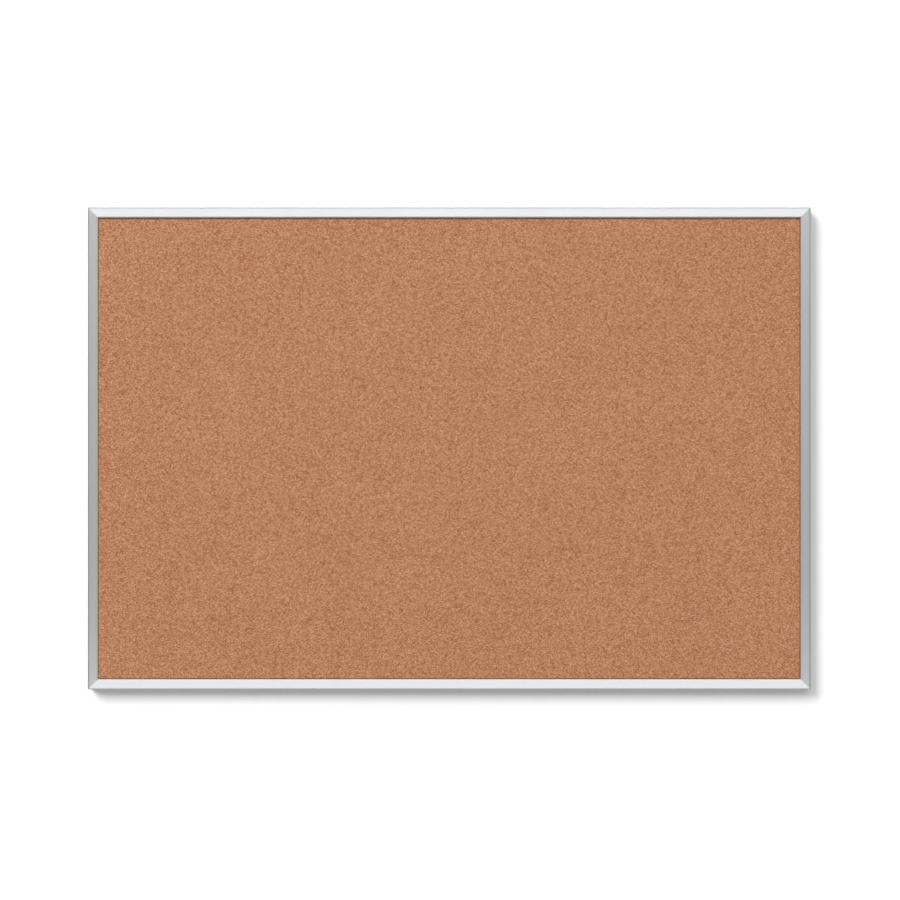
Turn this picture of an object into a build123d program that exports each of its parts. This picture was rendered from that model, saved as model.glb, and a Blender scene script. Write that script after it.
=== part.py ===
from build123d import *
import os

# A wall-hung cork bulletin board, 36 by 24 inches, in a mitred frame of extruded aluminium.
#
# +X runs to the reader's right, +Z up, and the cork looks along -Y. The origin is the
# centre of the board on the plane of the wall, so the whole board has y <= 0.
# Lengths are in millimetres. An "inset" is a distance inward from the frame's outer edge,
# and a "depth" is a distance back from the frame's front face.

INCH = 25.4

# The board as a whole
board_width = 36 * INCH
board_height = 24 * INCH
overall_depth = 0.75 * INCH
wall_gap = 1.65
rail_depth = overall_depth - wall_gap

# The rail's section, from the front to the back
face_width = 0.5 * INCH
outer_roll = 2.0
bevel_width = 1.2
bevel_depth = 0.8
side_wall = 1.2
lip_thickness = 1.2
lip_foot_width = 1.2
lip_foot_depth = 2.2
divider_front = 11.1
divider_back = 12.1
channel_width = 11.0
channel_wall = 1.0
back_lip_front = rail_depth - 1.0
slot_start = 3.4
slot_width = 4.4
mitre_gap = 0.1

# The pinning panel, which lies behind the front lips: their feet press the cork's border down
panel_inset = 2.0
cork_front = lip_thickness
cork_thickness = 3.0
cork_groove = 0.8
cork_shoulder_radius = 0.9
core_thickness = 4.8
backing_thickness = 0.3
cork_back = cork_front + cork_thickness
core_back = cork_back + core_thickness
panel_back = core_back + backing_thickness

# The corner hardware in the rails' rear channels
plate_inset = 1.6
plate_width = 8.0
arm_length = 38.0
key_front = 13.3
key_thickness = 3.0
shim_front = 12.15
shim_thickness = 0.6
screw_radius = 2.0
screw_clearance = 0.05
screw_back = rail_depth - 0.4
screw_slot_width = 0.8
screw_slot_depth = 1.0
screw_insets = (19.0, 33.0)

# The bowed spring clips between the panel and the channel
spring_length = 48.0
spring_width = 8.0
spring_sheet = 0.45
spring_rise = 1.25
spring_clearance = 0.05
springs_on_long_rail = 3
springs_on_short_rail = 2

# The sliding hangers
hanger_spacing = 800.0
hanger_width = 32.0
hanger_sheet = 1.2
foot_inset = 1.6
foot_front = 14.8
neck_inset = 5.6
hanger_reach = 52.0
bend_radius = 0.9
hanger_corner = 5.0
flange_inset = 15.0
flange_end = 47.0
flange_height = 2.4
keyhole_entry_inset = 38.0
keyhole_top_inset = 25.0
keyhole_entry_radius = 4.5
keyhole_slot_radius = 2.3

# The rubber bumpers
bumper_radius = 4.8
bumper_edge = 0.5
bumper_stem_radius = 2.0
bumper_barb_radius = 2.8
bumper_barb_front = 14.6
bumper_barb_back = 16.2
bumper_corner_distance = 52.0

# Each side's name, its rail's length, its rail's distance from the centre,
# its turn about Y from the top, and how many spring clips it holds
SIDES = (
    ("top", board_width, board_height / 2, 0, springs_on_long_rail),
    ("right", board_height, board_width / 2, 90, springs_on_short_rail),
    ("bottom", board_width, board_height / 2, 180, springs_on_long_rail),
    ("left", board_height, board_width / 2, -90, springs_on_short_rail),
)

CORNERS = (
    ("top_left", -1, 1),
    ("top_right", 1, 1),
    ("bottom_left", -1, -1),
    ("bottom_right", 1, -1),
)


def y_at(depth):
    """The Y of a depth behind the front face."""
    return depth - overall_depth


def block(x_ends, depths, z_ends):
    """A box between two Xs, two depths and two Zs, each pair in either order."""
    x_low, x_high = sorted(x_ends)
    z_low, z_high = sorted(z_ends)
    size = (x_high - x_low, depths[1] - depths[0], z_high - z_low)
    return Pos(x_low, y_at(depths[0]), z_low) * Box(*size, align=Align.MIN)


def peg(x, z, radius, depths):
    """A round peg along Y between two depths."""
    standing = Cylinder(radius, depths[1] - depths[0], align=(Align.CENTER, Align.CENTER, Align.MIN))
    return Pos(x, y_at(depths[0]), z) * Rot(X=-90) * standing


def rail_section():
    """The extrusion's section, as (inset, depth): a footed front lip, a side wall and a rear channel."""
    slot_end = slot_start + slot_width
    cavity_end = channel_width - channel_wall
    foot_start = face_width - lip_foot_width
    roll = RadiusArc((0, outer_roll), (outer_roll, 0), -outer_roll)
    rest = Polyline(
        roll @ 1,
        (face_width - bevel_width, 0),
        (face_width, bevel_depth),
        (face_width, lip_foot_depth),
        (foot_start, lip_foot_depth),
        (foot_start, lip_thickness),
        (side_wall, lip_thickness),
        (side_wall, divider_front),
        (channel_width, divider_front),
        (channel_width, rail_depth),
        (slot_end, rail_depth),
        (slot_end, back_lip_front),
        (cavity_end, back_lip_front),
        (cavity_end, divider_back),
        (side_wall, divider_back),
        (side_wall, back_lip_front),
        (slot_start, back_lip_front),
        (slot_start, rail_depth),
        (0, rail_depth),
        roll @ 0,
    )
    return make_face([roll, rest])


def rail(length, offset):
    """A rail in the top rail's place: mitred at both ends, its outer edge at z = offset."""
    start = Plane(origin=(-length / 2, y_at(0), offset), x_dir=(0, 0, -1), z_dir=(1, 0, 0))
    bar = extrude(start * rail_section(), amount=length)
    end = length / 2 - mitre_gap / 2
    cut = Polyline(
        (-end, offset),
        (end, offset),
        (end - face_width, offset - face_width),
        (face_width - end, offset - face_width),
        close=True,
    )
    return bar & extrude(Plane.XZ * make_face(cut), amount=overall_depth)


def sheet(inset, depths):
    """A flat sheet between two depths, with its edges at this inset."""
    half_width = board_width / 2 - inset
    half_height = board_height / 2 - inset
    return block((-half_width, half_width), depths, (-half_height, half_height))


def cork_sheet():
    """The cork: its border lies pressed under the lips' feet, and its face stands up to a round shoulder."""
    border = sheet(panel_inset, (lip_foot_depth, cork_back))
    face = sheet(face_width + cork_groove, (cork_front, cork_back))
    face = fillet(face.edges().group_by(Axis.Y)[0], cork_shoulder_radius)
    return border + face


def corner_plate(x_sign, z_sign, depths):
    """A flat L whose arms lie in the rear channels of the two rails that meet at a corner."""

    def along(sign, half, inset):
        return sign * (half - inset)

    x_outer = along(x_sign, board_width / 2, plate_inset)
    z_outer = along(z_sign, board_height / 2, plate_inset)
    x_arm = (x_outer, x_outer - x_sign * arm_length)
    z_arm = (z_outer, z_outer - z_sign * arm_length)
    x_band = (x_outer, x_outer - x_sign * plate_width)
    z_band = (z_outer, z_outer - z_sign * plate_width)
    return block(x_arm, depths, z_band) + block(x_band, depths, z_arm)


def screw_places(x_sign, z_sign):
    """Where the set screws of a corner stand, on the middle line of each rail's slot."""
    middle = slot_start + slot_width / 2
    on_x_arm = [(inset, middle) for inset in screw_insets]
    on_z_arm = [(middle, inset) for inset in screw_insets]
    half = (board_width / 2, board_height / 2)
    return [(x_sign * (half[0] - x), z_sign * (half[1] - z)) for x, z in on_x_arm + on_z_arm]


def corner_key(x_sign, z_sign):
    """The steel key of a corner, drilled for its set screws."""
    depths = (key_front, key_front + key_thickness)
    key = corner_plate(x_sign, z_sign, depths)
    for x, z in screw_places(x_sign, z_sign):
        key -= peg(x, z, screw_radius + screw_clearance, depths)
    return key


def corner_shim(x_sign, z_sign):
    """The thin plate that a corner's set screws press against the channel."""
    return corner_plate(x_sign, z_sign, (shim_front, shim_front + shim_thickness))


def set_screw(x, z):
    """A slotted set screw that runs from the shim to just inside the rail's back."""
    shim_back = shim_front + shim_thickness
    slot_front = screw_back - screw_slot_depth
    slot_x = (x - 2 * screw_radius, x + 2 * screw_radius)
    slot_z = (z - screw_slot_width / 2, z + screw_slot_width / 2)
    return peg(x, z, screw_radius, (shim_back, screw_back)) - block(slot_x, (slot_front, screw_back), slot_z)


def corner_screws(x_sign, z_sign):
    """The four set screws of a corner."""
    return Compound([set_screw(x, z) for x, z in screw_places(x_sign, z_sign)])


def leaf_spring(x, offset):
    """A bowed strip in the top rail's place: its ends press on the panel, its middle on the channel."""
    half = spring_length / 2
    front = ThreePointArc((-half, 0), (0, spring_rise), (half, 0))
    back = ThreePointArc((half, spring_sheet), (0, spring_rise + spring_sheet), (-half, spring_sheet))
    ends = [Line(front @ 1, back @ 0), Line(back @ 1, front @ 0)]
    strip = extrude(make_face([front, back, *ends]), amount=spring_width)
    top = offset - panel_inset
    return Pos(x, y_at(panel_back + spring_clearance), top - spring_width) * strip


def rail_springs(length, offset, count):
    """The spring clips of one rail, evenly spaced."""
    step = length / (count + 1)
    places = [step * (number + 1) - length / 2 for number in range(count)]
    return Compound([leaf_spring(x, offset) for x in places])


def hanger(x):
    """A pressed hanger: its foot hooks into the top rail's channel and its plate lies on the wall."""
    half = hanger_width / 2
    top = board_height / 2
    foot_y = y_at(foot_front + hanger_sheet / 2)
    plate_y = -hanger_sheet / 2
    line = FilletPolyline(
        (x, foot_y, top - foot_inset),
        (x, foot_y, top - neck_inset),
        (x, plate_y, top - neck_inset),
        (x, plate_y, top - hanger_reach),
        radius=bend_radius,
    )
    start = Plane(origin=line @ 0, x_dir=(1, 0, 0), z_dir=(0, 0, -1))
    plate = sweep(start * Rectangle(hanger_width, hanger_sheet), path=line)
    plate = fillet(plate.edges().filter_by(Axis.Y).group_by(Axis.Z)[0], hanger_corner)

    plate_depths = (overall_depth - hanger_sheet, overall_depth)
    flange_depths = (plate_depths[0] - flange_height, plate_depths[1])
    flange_z = (top - flange_inset, top - flange_end)
    for edge in (x - half, x + half - hanger_sheet):
        plate += block((edge, edge + hanger_sheet), flange_depths, flange_z)

    entry_z = top - keyhole_entry_inset
    slot_z = top - keyhole_top_inset
    plate -= peg(x, entry_z, keyhole_entry_radius, plate_depths)
    plate -= peg(x, slot_z, keyhole_slot_radius, plate_depths)
    slot_x = (x - keyhole_slot_radius, x + keyhole_slot_radius)
    plate -= block(slot_x, plate_depths, (entry_z, slot_z))
    return plate


def bumper(x_sign):
    """A rubber button pushed into the bottom rail's slot, with a flat head against the wall."""
    x = x_sign * (board_width / 2 - bumper_corner_distance)
    z = slot_start + slot_width / 2 - board_height / 2
    head = peg(x, z, bumper_radius, (rail_depth, overall_depth))
    head = fillet(head.edges().sort_by(Axis.Y)[-1], bumper_edge)
    stem = peg(x, z, bumper_stem_radius, (bumper_barb_back, rail_depth))
    barb = peg(x, z, bumper_barb_radius, (bumper_barb_front, bumper_barb_back))
    return head + stem + barb


def all_pieces():
    """Every piece of the board, by name."""
    pieces = {
        "cork_sheet": cork_sheet(),
        "core_panel": sheet(panel_inset, (cork_back, core_back)),
        "backing_sheet": sheet(panel_inset, (core_back, panel_back)),
        "hanger_left": hanger(-hanger_spacing / 2),
        "hanger_right": hanger(hanger_spacing / 2),
        "bumper_left": bumper(-1),
        "bumper_right": bumper(1),
    }
    for side, length, offset, turn, spring_count in SIDES:
        pieces[f"rail_{side}"] = Rot(Y=turn) * rail(length, offset)
        pieces[f"springs_{side}"] = Rot(Y=turn) * rail_springs(length, offset, spring_count)
    for corner, x_sign, z_sign in CORNERS:
        pieces[f"corner_key_{corner}"] = corner_key(x_sign, z_sign)
        pieces[f"corner_shim_{corner}"] = corner_shim(x_sign, z_sign)
        pieces[f"corner_screws_{corner}"] = corner_screws(x_sign, z_sign)
    return pieces


os.makedirs("parts", exist_ok=True)
for name, piece in all_pieces().items():
    export_step(piece, f"parts/{name}.step")
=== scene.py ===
from math import cos, pi, radians, sin, tan

import bpy
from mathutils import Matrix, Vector


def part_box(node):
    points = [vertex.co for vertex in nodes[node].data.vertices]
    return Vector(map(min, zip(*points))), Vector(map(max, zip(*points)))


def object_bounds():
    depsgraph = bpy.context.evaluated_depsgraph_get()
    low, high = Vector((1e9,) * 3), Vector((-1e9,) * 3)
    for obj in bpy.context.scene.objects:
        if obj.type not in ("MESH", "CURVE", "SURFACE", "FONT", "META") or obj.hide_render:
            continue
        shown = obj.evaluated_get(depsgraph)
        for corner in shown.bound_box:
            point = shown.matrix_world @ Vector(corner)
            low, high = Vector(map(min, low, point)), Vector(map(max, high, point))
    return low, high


# The looks of the cork bulletin board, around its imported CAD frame.
# Everything is in metres: +X to the reader's right, +Z up, the cork looks along -Y,
# and the wall behind the board is the plane y = 0.

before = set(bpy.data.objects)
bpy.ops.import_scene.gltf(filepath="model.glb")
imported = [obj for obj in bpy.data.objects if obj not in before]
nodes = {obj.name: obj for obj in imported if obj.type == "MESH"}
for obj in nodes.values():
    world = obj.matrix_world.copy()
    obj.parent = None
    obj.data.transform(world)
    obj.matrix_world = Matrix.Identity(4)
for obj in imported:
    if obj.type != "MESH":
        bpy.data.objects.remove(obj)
cad_low, cad_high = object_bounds()

MM = 0.001


# ---------------------------------------------------------------- node-tree helpers


def add(tree, kind, inputs=None, **settings):
    """Adds a shader node. An input is a constant, or another node's output to link."""
    node = tree.nodes.new("ShaderNode" + kind)
    for name, value in settings.items():
        setattr(node, name, value)
    for name, value in (inputs or {}).items():
        socket = node.inputs[name]
        if isinstance(value, bpy.types.NodeSocket):
            tree.links.new(value, socket)
        else:
            socket.default_value = value
    return node


def new_material(name, **constants):
    """A Principled material. The constants are the shader's own sockets, by name."""
    material = bpy.data.materials.new(name)
    material.use_nodes = True
    tree = material.node_tree
    shader = tree.nodes["Principled BSDF"]
    for socket, value in constants.items():
        shader.inputs[socket.replace("_", " ")].default_value = value
    return material, tree, shader


def place(tree, scale=(1, 1, 1)):
    """Coordinates on the object in metres, stretched by a scale."""
    coords = add(tree, "TexCoord").outputs["Object"]
    return add(tree, "Mapping", {"Vector": coords, "Scale": scale}).outputs["Vector"]


def noise(tree, where, scale, detail=3.0, roughness=0.5):
    """A noise value from 0 to 1."""
    inputs = {"Vector": where, "Scale": scale, "Detail": detail, "Roughness": roughness}
    return add(tree, "TexNoise", inputs).outputs["Fac"]


def span(tree, value, from_low, from_high, to_low, to_high):
    """Maps a value's range onto another, and holds it there."""
    inputs = {
        "Value": value,
        "From Min": from_low,
        "From Max": from_high,
        "To Min": to_low,
        "To Max": to_high,
    }
    return add(tree, "MapRange", inputs).outputs["Result"]


def ramp(tree, value, stops):
    """A colour ramp with (position, colour) stops."""
    node = add(tree, "ValToRGB", {"Fac": value})
    bar = node.color_ramp.elements
    while len(bar) < len(stops):
        bar.new(0.5)
    for element, (position, colour) in zip(bar, stops):
        element.position = position
        element.color = (*colour, 1.0)
    return node.outputs["Color"]


def blend(tree, mode, factor, first, second):
    """Mixes two colours by a blend mode."""
    node = add(tree, "Mix", data_type="RGBA", blend_type=mode)
    # The node's sockets for colours have the same names as those for numbers, so they go by index.
    for index, value in ((0, factor), (6, first), (7, second)):
        if isinstance(value, bpy.types.NodeSocket):
            tree.links.new(value, node.inputs[index])
        else:
            node.inputs[index].default_value = value
    return node.outputs[2]


def step_math(tree, operation, *values):
    """One arithmetic step on the values."""
    return add(tree, "Math", dict(enumerate(values)), operation=operation).outputs[0]


def multiply(tree, colour, factor_stops, value):
    """Multiplies a colour by a ramp of factors."""
    return blend(tree, "MULTIPLY", 1.0, colour, ramp(tree, value, factor_stops))


def warped(tree, where, scale, reach):
    """The coordinates, each shifted a little by a noise, so that a pattern in them is irregular."""
    middle = (0.5, 0.5, 0.5)
    wobble = add(tree, "TexNoise", {"Vector": where, "Scale": scale}).outputs["Color"]
    shift = add(tree, "VectorMath", {0: wobble, 1: middle}, operation="SUBTRACT").outputs[0]
    shift = add(tree, "VectorMath", {0: shift, "Scale": reach}, operation="SCALE").outputs[0]
    return add(tree, "VectorMath", {0: where, 1: shift}, operation="ADD").outputs[0]


def mixture(tree, *parts):
    """0.5, plus how far each value is above its own middle of 0.5, times that value's weight."""
    middle = 0.5
    total = middle
    for value, weight in parts:
        above = step_math(tree, "SUBTRACT", value, middle)
        total = step_math(tree, "MULTIPLY_ADD", above, weight, total)
    return total


def random_tone(tree, where, scale):
    """A random value from 0 to 1 for each cell of a Voronoi pattern."""
    cells = add(tree, "TexVoronoi", {"Vector": where, "Scale": scale})
    return add(tree, "SeparateColor", {"Color": cells.outputs["Color"]}).outputs[0]


def bump(tree, shader, height, distance, strength):
    """Gives the shader a bump of this depth in metres."""
    inputs = {"Height": height, "Distance": distance, "Strength": strength}
    tree.links.new(add(tree, "Bump", inputs).outputs["Normal"], shader.inputs["Normal"])


# ---------------------------------------------------------------- materials


def grey(level):
    """A grey with the same red, green and blue."""
    return (level, level, level)


def painted_lip_shade(tree):
    """The cork's painted shade along the rails' lips, as a factor: deep and wide under the top rail, as
    a painted shadow of the top lip.
    """
    position = add(tree, "SeparateXYZ", {"Vector": place(tree)})
    right_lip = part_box("rail_right")[0].x
    top_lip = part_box("rail_top")[0].z
    # Bands of painted shade: a light one along the sides and bottom, and a deep, wide painted shadow
    # under the top lip.
    low_band, low_factor = (-2.2 * MM, -1.1 * MM), 0.88
    top_band, top_factor = (-3.4 * MM, -1.6 * MM), 0.34
    aside = step_math(tree, "ABSOLUTE", position.outputs["X"])
    up = position.outputs["Z"]
    down = step_math(tree, "MULTIPLY", up, -1.0)
    past_side = step_math(tree, "SUBTRACT", aside, right_lip)
    past_bottom = step_math(tree, "SUBTRACT", down, top_lip)
    past_top = step_math(tree, "SUBTRACT", up, top_lip)
    low_past = step_math(tree, "MAXIMUM", past_side, past_bottom)
    low_shade = span(tree, low_past, *low_band, 1.0, low_factor)
    top_shade = span(tree, past_top, *top_band, 1.0, top_factor)
    return step_math(tree, "MINIMUM", low_shade, top_shade)


def cork_material():
    """Pressed cork: small granules of many tans, with broken dark seams, and painted shade along the
    lips.
    """
    material, tree, shader = new_material("cork", Roughness=0.85, Specular_IOR_Level=0.2)
    granules_per_metre, wobbles_per_metre, wobble = 800.0, 750.0, 0.55 * MM
    longer_sideways = (0.8, 1, 1)
    where = warped(tree, place(tree, longer_sideways), wobbles_per_metre, wobble)

    tone = random_tone(tree, where, granules_per_metre)
    blotches = noise(tree, where, 1550.0, detail=1.0)
    fibres = noise(tree, where, 2700.0, detail=3.0, roughness=0.6)
    tans = [
        (0.0, (0.262, 0.103, 0.042)),
        (0.10, (0.355, 0.153, 0.073)),
        (0.50, (0.411, 0.192, 0.0975)),
        (0.90, (0.463, 0.231, 0.127)),
        (1.0, (0.525, 0.285, 0.170)),
    ]
    colour = ramp(tree, mixture(tree, (tone, 1.2), (blotches, 1.8), (fibres, 0.95)), tans)

    seam_width, seams_per_metre = 0.1, 500.0
    inputs = {"Vector": where, "Scale": granules_per_metre}
    from_seam = add(tree, "TexVoronoi", inputs, feature="DISTANCE_TO_EDGE").outputs["Distance"]
    closed = span(tree, noise(tree, place(tree), seams_per_metre, detail=1.0), 0.5, 0.6, 0.0, 1.0)
    seam = step_math(tree, "MAXIMUM", span(tree, from_seam, 0.0, seam_width, 0.0, 1.0), closed)
    colour = multiply(tree, colour, [(0, (0.60, 0.42, 0.33)), (1, (1.03, 1.04, 1.05))], seam)

    patches = noise(tree, place(tree), 9.0, detail=2.0)
    colour = multiply(tree, colour, [(0.3, (0.985, 0.97, 0.96)), (0.7, (1.015, 1.02, 1.025))], patches)
    # Painted shade: the cork is darkened along the rails' lips, most under the top one, where the lip's
    # shadow falls.
    colour = blend(tree, "MULTIPLY", 1.0, colour, painted_lip_shade(tree))
    tree.links.new(colour, shader.inputs["Base Color"])

    bump(tree, shader, mixture(tree, (seam, 0.8), (tone, 0.6), (fibres, 0.5)), 0.12 * MM, 0.6)
    return material


def painted_edge_shade(tree, length_axis):
    """The aluminium's painted shade by place: darker towards the rounded outer edge of the rail's front.

    The bottom rail, which is below the middle, keeps its tone.
    """
    rounding, front_depth, fade_depth, edge_factor = 3.0 * MM, 2.0 * MM, 5.0 * MM, 0.6
    position = add(tree, "SeparateXYZ", {"Vector": place(tree)})
    if length_axis == "X":
        outwards, edge = position.outputs["Z"], cad_high.z
    else:
        outwards, edge = step_math(tree, "ABSOLUTE", position.outputs["X"]), cad_high.x
    from_front = step_math(tree, "SUBTRACT", position.outputs["Y"], cad_low.y)
    near_edge = span(tree, outwards, edge - rounding, edge, 0.0, 1.0)
    near_front = span(tree, from_front, front_depth, fade_depth, 1.0, 0.0)
    near_both = step_math(tree, "MULTIPLY", near_edge, near_front)
    return span(tree, near_both, 0.0, 1.0, 1.0, edge_factor)


def aluminium_material(name, length_axis):
    """Satin anodised aluminium with fine die lines along its rail, and painted shade at the rounded
    outer edge of the top and side rails.
    """
    material, tree, shader = new_material(name, Metallic=1.0, Anisotropic=1.0, Anisotropic_Rotation=0.25)
    stretch, lines_per_metre = 0.004, 5200.0
    along = [1.0 if axis == length_axis else 0.0 for axis in "XYZ"]
    tangent = add(tree, "CombineXYZ", dict(zip("XYZ", along))).outputs[0]
    tree.links.new(tangent, shader.inputs["Tangent"])

    stretched = place(tree, [stretch if share else 1.0 for share in along])
    lines = noise(tree, stretched, lines_per_metre, detail=4.0, roughness=0.65)
    clouds = noise(tree, place(tree), 35.0)
    colour = ramp(tree, lines, [(0.25, (0.855, 0.865, 0.88)), (0.75, (0.935, 0.945, 0.96))])
    colour = multiply(tree, colour, [(0.3, grey(0.965)), (0.7, grey(1.0))], clouds)
    # Painted shade: the rounded outer edge of the top and side rails' front is darkened, standing in for
    # its darker reflection.
    colour = blend(tree, "MULTIPLY", 1.0, colour, painted_edge_shade(tree, length_axis))
    tree.links.new(colour, shader.inputs["Base Color"])
    sheen = span(tree, clouds, 0.3, 0.7, 0.33, 0.38)
    line_sheen = span(tree, lines, 0.2, 0.8, -0.02, 0.02)
    tree.links.new(step_math(tree, "ADD", sheen, line_sheen), shader.inputs["Roughness"])
    bump(tree, shader, lines, 0.01 * MM, 0.35)
    return material


def steel_material(name, tint, roughness):
    """Plated, pressed, turned or blued steel: faint crystals, a mottled sheen and a fine grain."""
    material, tree, shader = new_material(name, Metallic=1.0)
    stain_factor, stain_roughness = 0.72, roughness + 0.12
    where = place(tree)
    stains = noise(tree, where, 160.0, detail=5.0, roughness=0.6)
    shade = tuple(channel * stain_factor for channel in tint)
    colour = ramp(tree, stains, [(0.3, shade), (0.65, tint)])
    crystals = random_tone(tree, where, 900.0)
    colour = multiply(tree, colour, [(0, grey(0.9)), (1, grey(1.0))], crystals)
    tree.links.new(colour, shader.inputs["Base Color"])
    sheen = span(tree, stains, 0.3, 0.7, stain_roughness, roughness)
    tree.links.new(sheen, shader.inputs["Roughness"])
    bump(tree, shader, noise(tree, where, 2500.0, detail=2.0), 0.02 * MM, 0.4)
    return material


def board_material():
    """Soft wood-fibre board, seen at the panel's edge."""
    material, tree, shader = new_material("fibre_board", Roughness=0.95, Specular_IOR_Level=0.2)
    fibres = noise(tree, place(tree, (1, 3, 1)), 900.0, detail=6.0, roughness=0.7)
    browns = [(0.3, (0.20, 0.12, 0.07)), (0.55, (0.36, 0.25, 0.16)), (0.75, (0.50, 0.38, 0.26))]
    tree.links.new(ramp(tree, fibres, browns), shader.inputs["Base Color"])
    bump(tree, shader, fibres, 0.2 * MM, 0.8)
    return material


def paper_material():
    """Brown kraft paper: faintly cloudy, with short fibres and dark flecks, slightly cockled."""
    material, tree, shader = new_material("backing_paper", Roughness=0.82, Specular_IOR_Level=0.3)
    where = place(tree)
    cloudy = noise(tree, warped(tree, where, 120.0, 4.0 * MM), 260.0, detail=6.0, roughness=0.62)
    fibres = noise(tree, warped(tree, place(tree, (0.4, 1, 1)), 300.0, 2.0 * MM), 1500.0, detail=3.0)
    flecks = random_tone(tree, warped(tree, place(tree, (0.3, 1, 1)), 900.0, 0.5 * MM), 2000.0)
    browns = [(0.25, (0.30, 0.185, 0.102)), (0.5, (0.43, 0.285, 0.17)), (0.75, (0.54, 0.38, 0.24))]
    colour = ramp(tree, mixture(tree, (cloudy, 0.9), (fibres, 0.7)), browns)
    colour = multiply(tree, colour, [(0.02, (0.72, 0.67, 0.62)), (0.06, grey(1.0))], flecks)
    patches = noise(tree, where, 14.0, detail=4.0)
    colour = multiply(tree, colour, [(0.3, grey(0.92)), (0.7, grey(1.0))], patches)
    tree.links.new(colour, shader.inputs["Base Color"])
    cockle = noise(tree, where, 11.0, detail=1.0)
    bump(tree, shader, mixture(tree, (cockle, 12.0), (fibres, 0.8), (cloudy, 0.4)), 0.08 * MM, 0.8)
    return material


def rubber_material():
    """Black moulded rubber with a fine matt skin."""
    material, tree, shader = new_material("bumper_rubber", Specular_IOR_Level=0.35)
    skin = noise(tree, place(tree), 1800.0, detail=3.0)
    blacks = [(0.3, grey(0.012)), (0.7, grey(0.03))]
    tree.links.new(ramp(tree, skin, blacks), shader.inputs["Base Color"])
    tree.links.new(span(tree, skin, 0.3, 0.7, 0.55, 0.75), shader.inputs["Roughness"])
    bump(tree, shader, skin, 0.03 * MM, 0.5)
    return material


def dress(material, *names):
    """Gives CAD nodes a material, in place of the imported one."""
    for name in names:
        slots = nodes[name].data.materials
        slots.clear()
        slots.append(material)


def dress_board():
    """Gives every CAD node its finish."""
    corners = ("top_left", "top_right", "bottom_left", "bottom_right")
    sides = ("top", "bottom", "left", "right")
    zinc = steel_material("zinc_plated_steel", (0.70, 0.71, 0.71), 0.34)
    turned = steel_material("screw_steel", (0.55, 0.56, 0.58), 0.28)
    blued = steel_material("spring_steel", (0.30, 0.33, 0.38), 0.30)
    pressed = steel_material("pressed_steel", (0.74, 0.74, 0.73), 0.38)
    dress(cork_material(), "cork_sheet")
    dress(board_material(), "core_panel")
    dress(paper_material(), "backing_sheet")
    dress(aluminium_material("aluminium_along_x", "X"), "rail_top", "rail_bottom")
    dress(aluminium_material("aluminium_along_z", "Z"), "rail_left", "rail_right")
    dress(zinc, *[f"corner_key_{corner}" for corner in corners])
    dress(zinc, *[f"corner_shim_{corner}" for corner in corners])
    dress(turned, *[f"corner_screws_{corner}" for corner in corners])
    dress(blued, *[f"springs_{side}" for side in sides])
    dress(pressed, "hanger_left", "hanger_right")
    dress(rubber_material(), "bumper_left", "bumper_right")


# ---------------------------------------------------------------- studio


def stage_material():
    """A matt pale surface that only shows from its front, so the board's back can be seen too.

    Far from the board, where the lamps hardly reach, it glows a little instead of going grey.
    """
    material, tree, shader = new_material("studio_paper", Roughness=1.0, Specular_IOR_Level=0.0)
    glow_start, glow_full, full_glow = 3.0, 12.0, 0.6
    shader.inputs["Base Color"].default_value = (0.95, 0.95, 0.95, 1)
    shader.inputs["Emission Color"].default_value = (1, 1, 1, 1)
    away = add(tree, "VectorMath", {0: place(tree)}, operation="LENGTH").outputs["Value"]
    glow = span(tree, away, glow_start, glow_full, 0.0, full_glow)
    tree.links.new(glow, shader.inputs["Emission Strength"])
    facing = add(tree, "NewGeometry").outputs["Backfacing"]
    clear = add(tree, "BsdfTransparent").outputs[0]
    either = add(tree, "MixShader", {0: facing, 1: shader.outputs[0], 2: clear})
    tree.links.new(either.outputs[0], tree.nodes["Material Output"].inputs["Surface"])
    return material


def sweep_profile(floor_z, reach):
    """The studio paper's side view, as (y, z) points from its top, down and forward to its front."""
    wall_y, wall_top, radius, turn_steps = 0.4 * MM, 3.5, 0.35, 16
    points = [(wall_y, wall_top)]
    for step in range(turn_steps + 1):
        angle = pi / 2 * step / turn_steps
        points.append((wall_y - radius * (1 - cos(angle)), floor_z + radius * (1 - sin(angle))))
    points.append((-reach, floor_z))
    return points


def sweep_strips(floor_z, reach):
    """The wall behind the board and the floor on both sides of it, as strips across the studio."""
    points = sweep_profile(floor_z, reach)
    floor_start = points[-2]
    edges = [*zip(points, points[1:]), ((reach, floor_z), floor_start)]
    strips = []
    for upper, lower in edges:
        strips.append([(-reach, *upper), (-reach, *lower), (reach, *lower), (reach, *upper)])
    return strips


def far_walls(floor_z, reach):
    """The four far walls of the studio."""
    wall_top = 20.0
    plan = [(-reach, reach), (reach, reach), (reach, -reach), (-reach, -reach)]
    walls = []
    for left, right in zip(plan, plan[1:] + plan[:1]):
        walls.append([(*left, wall_top), (*left, floor_z), (*right, floor_z), (*right, wall_top)])
    return walls


def studio_paper():
    """A pale wall just behind the board curves forward into the floor, in a wide pale room.

    Each of its sheets has four corners, in the order that makes its front face the inside.
    """
    floor_z, reach = -1.1, 30.0
    sheets = sweep_strips(floor_z, reach) + far_walls(floor_z, reach)
    corners = [corner for sheet in sheets for corner in sheet]
    faces = [tuple(range(first, first + 4)) for first in range(0, len(corners), 4)]
    mesh = bpy.data.meshes.new("studio_paper")
    mesh.from_pydata(corners, [], faces)
    mesh.materials.append(stage_material())
    mesh.shade_smooth()
    paper = bpy.data.objects.new("studio_paper", mesh)
    bpy.context.scene.collection.objects.link(paper)
    # It catches the board's shadow, and takes no light away from the board's back.
    paper.visible_shadow = False
    paper.visible_diffuse = False
    paper.visible_glossy = False
    paper.visible_transmission = False


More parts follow.
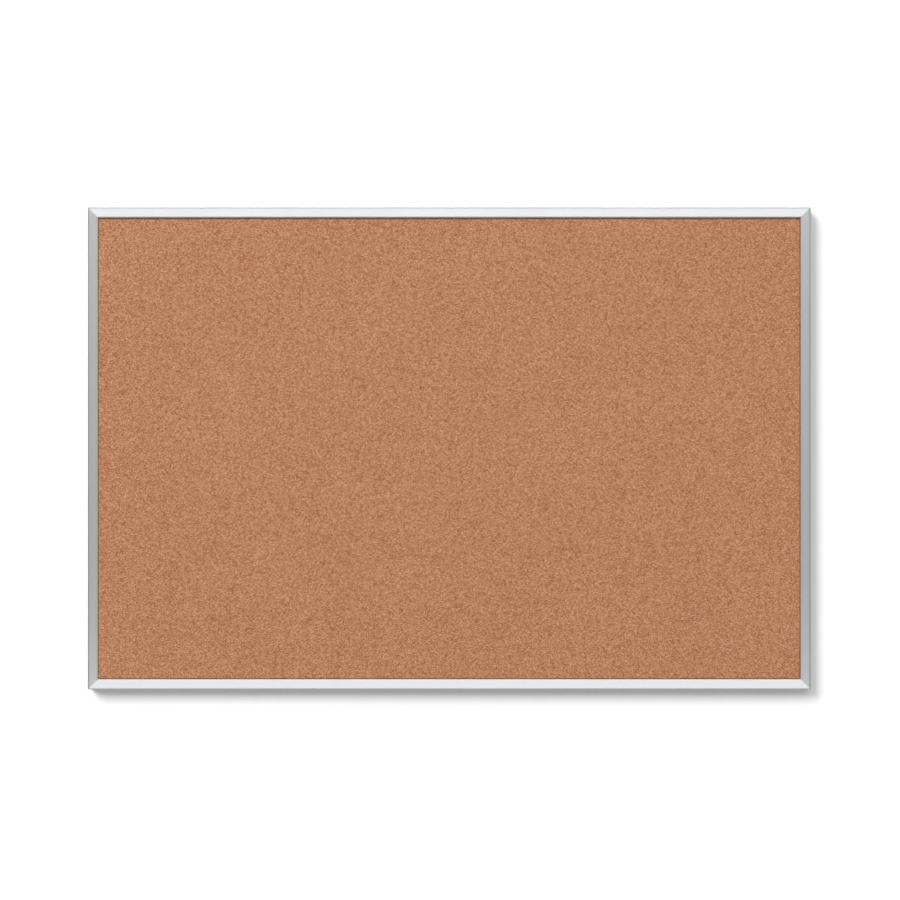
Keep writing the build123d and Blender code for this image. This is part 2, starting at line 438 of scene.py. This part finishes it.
def softbox(name, azimuth, elevation, spread, radiance, distance=5.0, on_matt=True, on_shiny=True):
    """A soft rectangular lamp that faces the board.

    It stands at an azimuth to the right of the board's front and an elevation above it, and
    covers a spread of degrees across and up, as seen from the board. It can be kept off matt
    surfaces, like a reflector card, or off shiny ones, where it would be a glare.
    """
    around, up = radians(azimuth), radians(elevation)
    towards = Vector((sin(around) * cos(up), -cos(around) * cos(up), sin(up)))
    size = [2 * distance * tan(radians(angle) / 2) for angle in spread]
    lamp = bpy.data.lights.new(name, "AREA")
    lamp.shape = "RECTANGLE"
    lamp.size, lamp.size_y = size
    lamp.energy = radiance * pi * size[0] * size[1]
    holder = bpy.data.objects.new(name, lamp)
    holder.location = towards * distance
    holder.rotation_euler = (-towards).to_track_quat("-Z", "Y").to_euler()
    holder.visible_camera = False
    holder.visible_diffuse = on_matt
    holder.visible_glossy = on_shiny
    bpy.context.scene.collection.objects.link(holder)


def studio_lights():
    """A key from above and the left, a wide overhead box, a low fill and a back light."""
    softbox("key_light", -41, 35, spread=(26, 34), radiance=11.7, distance=20.0, on_shiny=False)
    softbox("overhead", -4, 30, spread=(52, 32), radiance=1.2)
    softbox("low_fill", -4, -26, spread=(52, 32), radiance=0.92, on_matt=False)
    softbox("back_light", 212, 30, spread=(40, 30), radiance=3.0, on_shiny=False)


def pale_room():
    """A plain room: pale above, and a darker grey below the horizon."""
    horizon, lower_strength, upper_strength = 0.25, 0.33, 0.69
    world = bpy.data.worlds.new("pale_room")
    bpy.context.scene.world = world
    world.use_nodes = True
    tree = world.node_tree
    direction = add(tree, "TexCoord").outputs["Generated"]
    height = add(tree, "SeparateXYZ", {"Vector": direction}).outputs["Z"]
    strength = span(tree, height, -horizon, horizon, lower_strength, upper_strength)
    tree.nodes["Background"].inputs["Color"].default_value = (1.0, 1.0, 1.0, 1.0)
    tree.links.new(strength, tree.nodes["Background"].inputs["Strength"])


def camera():
    """A long lens square on to the board, which fills about four fifths of the picture's width."""
    board_share = 0.8037
    aside, below = 1.0 * MM, 2.1 * MM
    data = bpy.data.cameras.new("camera")
    data.lens, data.sensor_width = 85.0, 36.0
    view_width = (cad_high.x - cad_low.x) / board_share
    distance = view_width * data.lens / data.sensor_width
    holder = bpy.data.objects.new("camera", data)
    holder.location = (aside, cad_low.y - distance, -below)
    holder.rotation_euler = (radians(90), 0, 0)
    bpy.context.scene.collection.objects.link(holder)
    bpy.context.scene.camera = holder


dress_board()
studio_paper()
studio_lights()
pale_room()
camera()
bpy.context.scene.view_settings.view_transform = "Standard"
bpy.context.view_layer.update()
